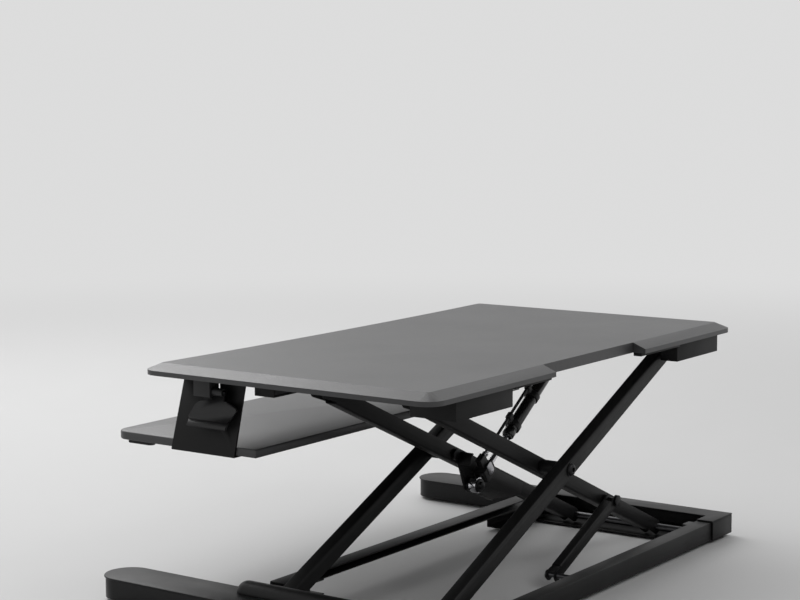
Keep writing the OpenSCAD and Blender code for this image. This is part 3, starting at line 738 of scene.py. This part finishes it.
@dataclass
class Base:
    """Feet, crossbars, hood and pads."""

    fold: float = 0.9
    cover_edge: float = 1.3
    pad_r: float = 12.0
    pad_h: float = 5.0
    pad_apart: float = 36.0

    def pads(self) -> bpy.types.Object:
        """Turns the rubber pads, each with a chamfer and a shallow dish below.

        Returns:
            The pads as one piece.
        """
        node = cad_mesh("foot_pads")
        left = [v.co.copy() for v in node.verts]
        node.free()
        centres = []
        while left:
            own = [p for p in left if (left[0] - p).xy.length < self.pad_apart]
            left = [p for p in left if p not in own]
            x = (min(p.x for p in own) + max(p.x for p in own)) / 2
            y = (min(p.y for p in own) + max(p.y for p in own)) / 2
            centres.append(Vector((x, y, 0)))
        r, h = self.pad_r, self.pad_h
        profile = [
            (0.0, 0.8), (6.0, 0.8), (7.0, 0.0), (r - 1.2, 0.0), (r - 0.2, 1.0), (r, 2.0), (r, h),
            (0.0, h),
        ]
        return Piece("pads_turned", Body.BASE, RUBBER, ("foot_pads",)).make(
            join(lathe(profile, c, Axis.Z, steps=32) for c in centres)
        )

    def build(self) -> None:
        """Makes all the pieces of the base."""
        for node in ("foot_right", "foot_left"):
            eased_node(node, Body.BASE, FOOT, self.fold)
        for node in ("foot_cover_right", "foot_cover_left"):
            eased_node(node, Body.BASE, FOOT, self.cover_edge, segments=3)
        eased_node("hinge_hood", Body.BASE, FOOT, radius=0.6)
        for node in (
            "rear_crossbar", "front_crossbar", "front_channel_right", "front_channel_left",
        ):
            eased_node(node, Body.BASE, POWDER, self.fold)
        eased_node("side_plates", Body.BASE, POWDER, radius=0.5)
        eased_node("base_hinge_blocks", Body.BASE, PLASTIC, radius=1.0)
        self.pads()


@dataclass
class GasSpring:
    """Gas spring with its bracket, release head, clips and cable."""

    link: Linkage = field(default_factory=Linkage)
    y: float = 20.0
    eye_s: float = 359.2
    eye_drop: float = 34.0
    rod_out: float = 113.0
    cyl_r: float = 10.0
    bore: float = 110.0
    lever_back: float = 34.0
    lever_middle: tuple[float, float] = (10.8, 5.0)
    lever_size: Point = (14.0, 1.4, 20.0)
    lever_corner: float = 4.0
    lever_edge: float = 0.3
    screw_drop: float = 2.0
    cable_off: float = 22.0
    cable_r: float = 2.5
    cable_start: float = 32.0
    cable_step: float = 4.0
    cable_steps: int = 54

    @property
    def cable_end(self) -> float:
        """Distance of the cable's upper end from the lower eye."""
        return self.cable_start + self.cable_step * self.cable_steps

    def lower_eye(self) -> Vector:
        """Returns the middle of the lower eye, in the plane of the spring."""
        return self.link.inner(0) @ Vector((self.eye_s, 0, -self.eye_drop))

    def place(self) -> tuple[Matrix, float]:
        """Works out where the spring lies.

        Returns:
            Its place, upper eye first, and the distance between its eyes.
        """
        top, low = self.link.slide, self.lower_eye()
        slope = math.atan2(top.z - low.z, low.x - top.x)
        length = math.hypot(low.x - top.x, top.z - low.z)
        at = Matrix.Translation((top.x, desk_middle() + self.y, top.z))
        return at @ Matrix.Rotation(slope, 4, "Y"), length

    def lever(self, matrix: Matrix, length: float) -> bpy.types.Object:
        """Builds the bright lever, its screw and the cable adjuster on the release head.

        Args:
            matrix: place of the spring.
            length: distance between its eyes.

        Returns:
            The three as one piece.
        """
        plate = bmesh.new()
        middle = Vector((length - self.lever_back, *self.lever_middle))
        size = Matrix.Diagonal((*self.lever_size, 1.0))
        bmesh.ops.create_cube(plate, size=1.0, matrix=Matrix.Translation(middle) @ size)
        thin = self.lever_size[1] / 2
        corners = [e for e in plate.edges if abs(e.verts[0].co.y - e.verts[1].co.y) > thin]
        bmesh.ops.bevel(
            plate, geom=corners, offset=self.lever_corner, offset_type="OFFSET", segments=4,
            profile=0.5, affect="EDGES", material=-1,
        )
        ease_edges(plate, self.lever_edge, degrees=SQUARE)
        screw = lathe(
            [
                (0.0, 10.2), (4.2, 10.2), (4.2, 11.2), (3.4, 11.7), (1.6, 11.8), (1.4, 11.0),
                (0.0, 11.0),
            ],
            Vector((length - self.lever_back, 0.0, -self.screw_drop)), Axis.Y, steps=24,
        )
        adjuster = lathe(
            [
                (2.6, -58.0), (3.4, -58.0), (3.8, -57.4), (3.8, -54.6), (3.2, -54.0),
                (3.2, -50.0), (4.6, -49.4), (5.0, -48.8), (5.0, -46.4), (4.6, -45.8),
                (3.4, -45.8), (3.4, -41.0), (2.6, -41.0), (2.6, -58.0),
            ],
            Vector((length, 0.0, self.cable_off)), Axis.X, steps=24,
        )
        bm = join((plate, screw, adjuster))
        bmesh.ops.transform(bm, matrix=matrix, verts=bm.verts)
        return Piece("release_lever", Body.ROD, LEVER).make(bm)

    def cylinder(self, matrix: Matrix, mouth: float) -> bpy.types.Object:
        """Turns the cylinder, grooved near its mouth, with its upper eye.

        Args:
            matrix: place of the spring.
            mouth: distance of its mouth from the upper eye.

        Returns:
            The cylinder.
        """
        r, end, floor = self.cyl_r, mouth, mouth - self.bore
        barrel = lathe(
            [
                (0.0, 7.0), (6.0, 7.0), (6.5, 12.0), (r - 1.0, 15.0), (r, 16.5), (r, end - 16.0),
                (r - 0.9, end - 14.6), (r - 0.9, end - 12.4), (r, end - 11.0), (r, end - 1.4),
                (r - 0.8, end), (r - 2.0, end + 0.4), (r - 2.0, end + 2.4), (r - 2.6, end + 3.0),
                (5.3, end + 3.0), (5.3, floor), (0.0, floor),
            ],
            Vector((0, 0, 0)), Axis.X,
        )
        ring = lathe(
            [
                (6.1, -8.0), (10.2, -8.0), (11.0, -7.2), (11.0, 7.2), (10.2, 8.0), (6.1, 8.0),
                (6.1, -8.0),
            ],
            Vector((0, 0, 0)), Axis.Y,
        )
        bm = join((barrel, ring))
        bmesh.ops.transform(bm, matrix=matrix, verts=bm.verts)
        return Piece("gas_cylinder_turned", Body.CYLINDER, CYLINDER, ("gas_cylinder",)).make(bm)

    def cable(self, matrix: Matrix, length: float) -> None:
        """Sweeps the release cable and crimps a ferrule on its upper end.

        Args:
            matrix: place of the spring.
            length: distance between its eyes.
        """
        first, r = length - self.cable_start, self.cable_r
        run = [
            matrix @ Vector((first - self.cable_step * i, 0, self.cable_off))
            for i in range(self.cable_steps + 1)
        ]
        Piece("spring_cable_sheath", Body.ROD, SHEATH, ("spring_cable",)).make(tube(run, r))
        ferrule = lathe(
            [
                (r, 13.0), (r + 0.7, 13.0), (r + 0.9, 12.6), (r + 0.9, 9.2), (r + 0.5, 8.8),
                (r + 0.5, 7.6), (r + 0.9, 7.2), (r + 0.9, 1.2), (r + 0.5, 0.4), (r - 1.0, -1.0),
                (0.8, -1.0), (0.8, 0.0), (r, 0.0), (r, 13.0),
            ],
            Vector((length - self.cable_end, 0.0, self.cable_off)), Axis.X, steps=24,
        )
        bmesh.ops.transform(ferrule, matrix=matrix, verts=ferrule.verts)
        Piece("spring_cable_ferrule", Body.ROD, LEVER).make(ferrule)

    def build(self) -> None:
        """Makes all the pieces of the spring."""
        matrix, length = self.place()
        self.cylinder(matrix, length - self.rod_out)
        eased_node("cable_clips", Body.CYLINDER, PLASTIC, radius=0.4)
        eased_node("gas_rod", Body.ROD, CHROME, radius=0.5)
        eased_node("release_head", Body.ROD, PLASTIC, radius=1.2, segments=3)
        self.lever(matrix, length)
        eased_node("spring_bracket", Body.INNER, POWDER, radius=0.6)
        eased_node("spring_pin", Body.INNER, ZINC, radius=0.6)
        self.cable(matrix, length)


@dataclass
class Worktop:
    """Bevelled board with a notch in its back edge, boxes and stiffeners."""

    width: float = 890.0
    depth: float = 514.0
    thick: float = 16.0
    run: float = 22.0
    drop: float = 9.0
    corner: float = 28.0
    sag: float = 10.0
    front_cuts: int = 31
    notch_w: float = 268.0
    notch_d: float = 22.0
    edge: float = 1.2
    fold: float = 0.8

    def board(self) -> bpy.types.Object:
        """Builds the board from its outline, with the notch cut square.

        Returns:
            The board.
        """
        hx, hy = self.width / 2, self.depth / 2
        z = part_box("worktop")[0][2] / MM
        bm = bmesh.new()
        outline = ((-hx, -hy), (hx, -hy), (hx, hy), (-hx, hy))
        corners = [bm.verts.new((x, y, z)) for x, y in outline]
        bm.faces.new(corners)
        bmesh.ops.bevel(
            bm, geom=corners, offset=self.corner, offset_type="OFFSET", segments=CORNER_STEPS,
            profile=0.5, affect="VERTICES", material=-1,
        )
        front = [e for e in bm.edges if all(abs(v.co.y + hy) < TOUCH for v in e.verts)]
        bmesh.ops.subdivide_edges(bm, edges=front, cuts=self.front_cuts)
        reach = hx - self.corner
        for v in bm.verts:
            if abs(v.co.y + hy) < TOUCH and abs(v.co.x) < reach:
                v.co.y += self.sag * (1.0 - (v.co.x / reach) ** 2)
        top = extrude_face(bm, bm.faces[:][0], (0, 0, self.thick - self.drop))
        bmesh.ops.recalc_face_normals(bm, faces=bm.faces)
        bmesh.ops.inset_region(
            bm, faces=[top], thickness=self.run, depth=self.drop, use_even_offset=True,
            use_boundary=True,
        )
        bmesh.ops.recalc_face_normals(bm, faces=bm.faces)
        self.cut_notch(bm)
        ease_edges(bm, self.edge, segments=3, degrees=BEVELLED)
        bmesh.ops.translate(bm, verts=bm.verts, vec=(0, desk_middle(), 0))
        return Piece("worktop_board", Body.TOP, BOARD, ("worktop",)).make(bm)

    def cut_notch(self, bm: bmesh.types.BMesh) -> None:
        """Cuts the notch out of the board's back edge.

        Args:
            bm: the board, whose middle is still at Y zero.
        """
        half, back = self.notch_w / 2, self.depth / 2 - self.notch_d
        for x in (-half, half):
            geom = bm.verts[:] + bm.edges[:] + bm.faces[:]
            bmesh.ops.bisect_plane(
                bm, geom=geom, plane_co=(x, 0, 0), plane_no=(1, 0, 0), dist=CUT_TOUCH
            )
        strip = [f for f in bm.faces if abs(f.calc_center_median().x) < half]
        bmesh.ops.bisect_plane(
            bm, geom=with_borders(strip), plane_co=(0, back, 0), plane_no=(0, 1, 0), dist=CUT_TOUCH
        )
        gone = [
            f for f in bm.faces
            if abs(f.calc_center_median().x) < half and f.calc_center_median().y > back + TOUCH
        ]
        bmesh.ops.delete(bm, geom=gone, context="FACES")
        near = WALL_TOUCH
        walls = [[v for v in bm.verts if abs(v.co.y - back) < near and abs(v.co.x) < half + near]]
        for x in (-half, half):
            side = [v for v in bm.verts if abs(v.co.x - x) < near and v.co.y > back - near]
            walls.append(side)
        for wall in walls:
            bmesh.ops.contextual_create(bm, geom=wall)
        bmesh.ops.recalc_face_normals(bm, faces=bm.faces)

    def build(self) -> None:
        """Makes the board and what is screwed under it."""
        self.board()
        for node in (
            "hinge_box_rear", "hinge_box_front", "slide_box_rear", "slide_box_front",
            "rear_stiffeners",
        ):
            eased_node(node, Body.TOP, POWDER, self.fold)
        eased_node("top_hinge_blocks", Body.TOP, PLASTIC, radius=1.0)


@dataclass
class Tray:
    """Keyboard tray, its brackets, bumpers and screws."""

    corner: float = 24.0
    edge: float = 2.2
    fold: float = 0.9
    screw_edge: float = 0.7

    def board(self) -> bpy.types.Object:
        """Builds the tray board with its front corners and edges rounded.

        Returns:
            The board.
        """
        (x0, y0, z0), (x1, y1, z1) = (Vector(c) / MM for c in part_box("keyboard_tray"))
        bm = bmesh.new()
        outline = ((x0, y0), (x1, y0), (x1, y1), (x0, y1))
        corners = [bm.verts.new((x, y, z0)) for x, y in outline]
        bm.faces.new(corners)
        bmesh.ops.bevel(
            bm, geom=corners[:2], offset=self.corner, offset_type="OFFSET", segments=CORNER_STEPS,
            profile=0.5, affect="VERTICES", material=-1,
        )
        extrude_face(bm, bm.faces[:][0], (0, 0, z1 - z0))
        bmesh.ops.recalc_face_normals(bm, faces=bm.faces)
        ease_edges(bm, self.edge, segments=3, degrees=SQUARE)
        return Piece("tray_board", Body.TOP, BOARD, ("keyboard_tray",)).make(bm)

    def screws(self, node: str) -> bpy.types.Object:
        """Rounds the edges of the screws of one node.

        Args:
            node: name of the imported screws.

        Returns:
            The screws.
        """
        bm = cad_copy(node, self.screw_edge)
        return Piece(f"{node}_turned", Body.TOP, ZINC, (node,)).make(bm)

    def build(self) -> None:
        """Makes the tray and what carries it."""
        self.board()
        for node in ("tray_bracket_right", "tray_bracket_left"):
            eased_node(node, Body.TOP, POWDER, self.fold)
        eased_node("tray_bumpers", Body.TOP, RUBBER, radius=1.2, segments=3)
        for node in ("tray_screws", "top_screws"):
            self.screws(node)


@dataclass
class Release:
    """Squeeze paddles, their mounts and the cables under the worktop.

    The joiner's, the stop's and the mounts' places count from the worktop's middle.
    """

    cable_r: float = 2.5
    joiner_x: float = 15.0
    joiner_front: float = -140.0
    joiner_back: float = -134.0
    mount_x: float = 355.3
    stop: tuple[float, float] = (-227.1, 20.0)

    def cable(self, node: str, points: Sequence[Vector]) -> bpy.types.Object:
        """Sweeps one cable along its packed route.

        Args:
            node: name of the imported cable.
            points: its middle line in millimetres.

        Returns:
            The cable.
        """
        return Piece(f"{node}_sheath", Body.TOP, SHEATH, (node,)).make(tube(points, self.cable_r))

    @staticmethod
    def run(a: Vector, b: Vector, count: int = 40) -> list[Vector]:
        """Draws a level run that leaves and arrives along X.

        Args:
            a: first point.
            b: last point.
            count: steps between them.

        Returns:
            The points of the run.
        """
        points = []
        for i in range(count + 1):
            t = i / count
            ease = t * t * (3.0 - 2.0 * t)
            points.append(Vector((a.x + (b.x - a.x) * t, a.y + (b.y - a.y) * ease, a.z)))
        return points

    def build(self) -> None:
        """Makes the paddles, their mounts and the cables."""
        for node, body in (("paddle_right", Body.PADDLE_RIGHT), ("paddle_left", Body.PADDLE_LEFT)):
            eased_node(node, body, PLASTIC, radius=1.1, segments=3)
        eased_node("paddle_mounts", Body.TOP, PLASTIC, radius=1.2, segments=3)
        eased_node("paddle_pins", Body.TOP, ZINC, radius=0.5)
        eased_node("cable_joiner", Body.TOP, PLASTIC, radius=1.2, segments=3)
        eased_node("cable_stop", Body.TOP, PLASTIC, radius=1.0, segments=3)
        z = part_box("cable_right")[1][2] / MM - self.cable_r
        mid = desk_middle()
        low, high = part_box("paddle_mounts")
        mount_y = (low[1] + high[1]) / 2 / MM
        for node, side in (("cable_right", 1.0), ("cable_left", -1.0)):
            near = Vector((side * self.joiner_x, mid + self.joiner_front, z))
            far = Vector((side * self.mount_x, mount_y, z))
            self.cable(node, self.run(near, far))
        start = Vector((self.stop[0], mid + self.stop[1], z))
        end = Vector((-self.joiner_x, mid + self.joiner_back, z))
        self.cable("cable_main", self.run(start, end))


@dataclass(frozen=True)
class Lamp:
    """One soft square lamp.

    Attributes:
        name: name of the lamp.
        at: where it hangs, in metres.
        aim: what it points at, in metres.
        size: side of the lamp in metres.
        power: power in watts.
    """

    name: str
    at: Point
    aim: Point
    size: float
    power: float

    def hang(self) -> None:
        """Puts the lamp into the scene."""
        data = bpy.data.lights.new(self.name, "AREA")
        data.shape, data.size, data.energy = "SQUARE", self.size, self.power
        obj = bpy.data.objects.new(self.name, data)
        way = Vector(self.aim) - Vector(self.at)
        turn = way.to_track_quat("-Z", "Y").to_matrix().to_4x4()
        obj.matrix_world = Matrix.Translation(self.at) @ turn
        bpy.context.scene.collection.objects.link(obj)


@dataclass
class Studio:
    """Camera at the photographed angle, pale floor and soft light.

    Places are in metres, the lens and the sensor in millimetres.
    """

    eye: Point = (2.44635, 1.62541, 0.78093)
    ahead: Point = (-0.8098, -0.5745, -0.1189)
    roll: float = -0.0047
    lens: float = 85.70
    sensor: float = 36.0
    clip: tuple[float, float] = (0.05, 60.0)
    floor_r: float = 60.0
    floor_steps: int = 96
    window: Point = (-0.42, -0.80, 0.44)
    ambient: float = 0.20
    daylight: float = 1.20
    wall: float = 0.72
    fade: tuple[float, float] = (1.2, 4.5)
    lamps: tuple[Lamp, ...] = (
        Lamp("key", at=(-0.8, -2.4, 2.5), aim=(0.0, 0.0, 0.2), size=2.4, power=58.0),
        Lamp("rim", at=(-0.6, 2.4, 2.4), aim=(0.0, 0.0, 0.1), size=1.2, power=14.0),
    )

    def camera(self) -> None:
        """Sets the camera where the photograph was taken from."""
        data = bpy.data.cameras.new("view")
        data.lens, data.sensor_width = self.lens, self.sensor
        data.clip_start, data.clip_end = self.clip
        obj = bpy.data.objects.new("view", data)
        ahead = Vector(self.ahead).normalized()
        right = ahead.cross(Vector(Axis.Z.value)).normalized()
        up = right.cross(ahead)
        side = math.cos(self.roll) * right + math.sin(self.roll) * up
        over = math.cos(self.roll) * up - math.sin(self.roll) * right
        turn = Matrix((side, over, -ahead)).transposed().to_4x4()
        eye = Vector(self.eye) + Vector((0, desk_middle() * MM, 0))
        obj.matrix_world = Matrix.Translation(eye) @ turn
        bpy.context.scene.collection.objects.link(obj)
        bpy.context.scene.camera = obj

    def ground(self) -> None:
        """Lays the floor, a wide disc that runs out to the horizon."""
        bm = bmesh.new()
        bmesh.ops.create_circle(
            bm, cap_ends=True, cap_tris=True, radius=self.floor_r, segments=self.floor_steps
        )
        mesh = bpy.data.meshes.new("floor")
        bm.to_mesh(mesh)
        bm.free()
        obj = bpy.data.objects.new("floor", mesh)
        mesh.materials.append(self.fading_floor())
        bpy.context.scene.collection.objects.link(obj)

    @staticmethod
    def seen_rays(tree: bpy.types.NodeTree) -> bpy.types.NodeSocket:
        """Tells rays that show the backdrop, straight, mirrored or passed through, from others.

        Args:
            tree: node tree that asks.

        Returns:
            A socket that is 1 for such rays and 0 for others.
        """
        path = tree.nodes.new("ShaderNodeLightPath")
        total = path.outputs["Is Camera Ray"]
        for kind in ("Is Glossy Ray", "Is Transmission Ray"):
            both = tree.nodes.new("ShaderNodeMath")
            both.operation = "MAXIMUM"
            tree.links.new(total, both.inputs[0])
            tree.links.new(path.outputs[kind], both.inputs[1])
            total = both.outputs[0]
        return total

    def fading_floor(self) -> bpy.types.Material:
        """Makes the floor's finish fade into the backdrop with distance.

        Returns:
            The floor's material.
        """
        made = FLOOR.material()
        nodes, link = made.node_tree.nodes, made.node_tree.links.new
        place = nodes.new("ShaderNodeTexCoord")
        away = nodes.new("ShaderNodeVectorMath")
        away.operation = "LENGTH"
        fade = nodes.new("ShaderNodeMapRange")
        fade.interpolation_type = "SMOOTHSTEP"
        fade.inputs["From Min"].default_value, fade.inputs["From Max"].default_value = self.fade
        seen = nodes.new("ShaderNodeMath")
        seen.operation = "MULTIPLY"
        wall = nodes.new("ShaderNodeEmission")
        wall.inputs["Color"].default_value = (self.wall, self.wall, self.wall, 1.0)
        both = nodes.new("ShaderNodeMixShader")
        link(place.outputs["Object"], away.inputs[0])
        link(away.outputs["Value"], fade.inputs["Value"])
        link(fade.outputs["Result"], seen.inputs[0])
        link(self.seen_rays(made.node_tree), seen.inputs[1])
        link(seen.outputs[0], both.inputs["Fac"])
        link(nodes["Principled BSDF"].outputs["BSDF"], both.inputs[1])
        link(wall.outputs["Emission"], both.inputs[2])
        link(both.outputs["Shader"], nodes["Material Output"].inputs["Surface"])
        return made

    def sky(self) -> None:
        """Sets a surround that lights from the window side and looks pale to the camera."""
        world = bpy.data.worlds.new("surround")
        bpy.context.scene.world = world
        world.use_nodes = True
        nodes, link = world.node_tree.nodes, world.node_tree.links.new
        way = nodes.new("ShaderNodeTexCoord")
        facing = nodes.new("ShaderNodeVectorMath")
        facing.operation = "DOT_PRODUCT"
        facing.inputs[1].default_value = Vector(self.window).normalized()
        glow = nodes.new("ShaderNodeMapRange")
        glow.inputs["To Min"].default_value = self.ambient
        glow.inputs["To Max"].default_value = self.ambient + self.daylight
        pick = nodes.new("ShaderNodeMix")
        pick.inputs["B"].default_value = self.wall
        back = nodes["Background"]
        back.inputs["Strength"].default_value = 1.0
        link(way.outputs["Generated"], facing.inputs[0])
        link(facing.outputs["Value"], glow.inputs["Value"])
        link(self.seen_rays(world.node_tree), pick.inputs["Factor"])
        link(glow.outputs["Result"], pick.inputs["A"])
        link(pick.outputs["Result"], back.inputs["Color"])

    def build(self) -> None:
        """Sets the whole stage."""
        self.camera()
        self.ground()
        self.sky()
        for lamp in self.lamps:
            lamp.hang()
        bpy.context.scene.view_settings.view_transform = "Standard"


def main() -> None:
    """Builds the stage and every sub-assembly."""
    logging.basicConfig(level=logging.INFO, format="%(name)s %(message)s")
    Studio().build()
    for assembly in (Base(), Scissor(), Stay(), GasSpring(), Worktop(), Tray(), Release()):
        assembly.build()


if __name__ == "__main__":
    main()
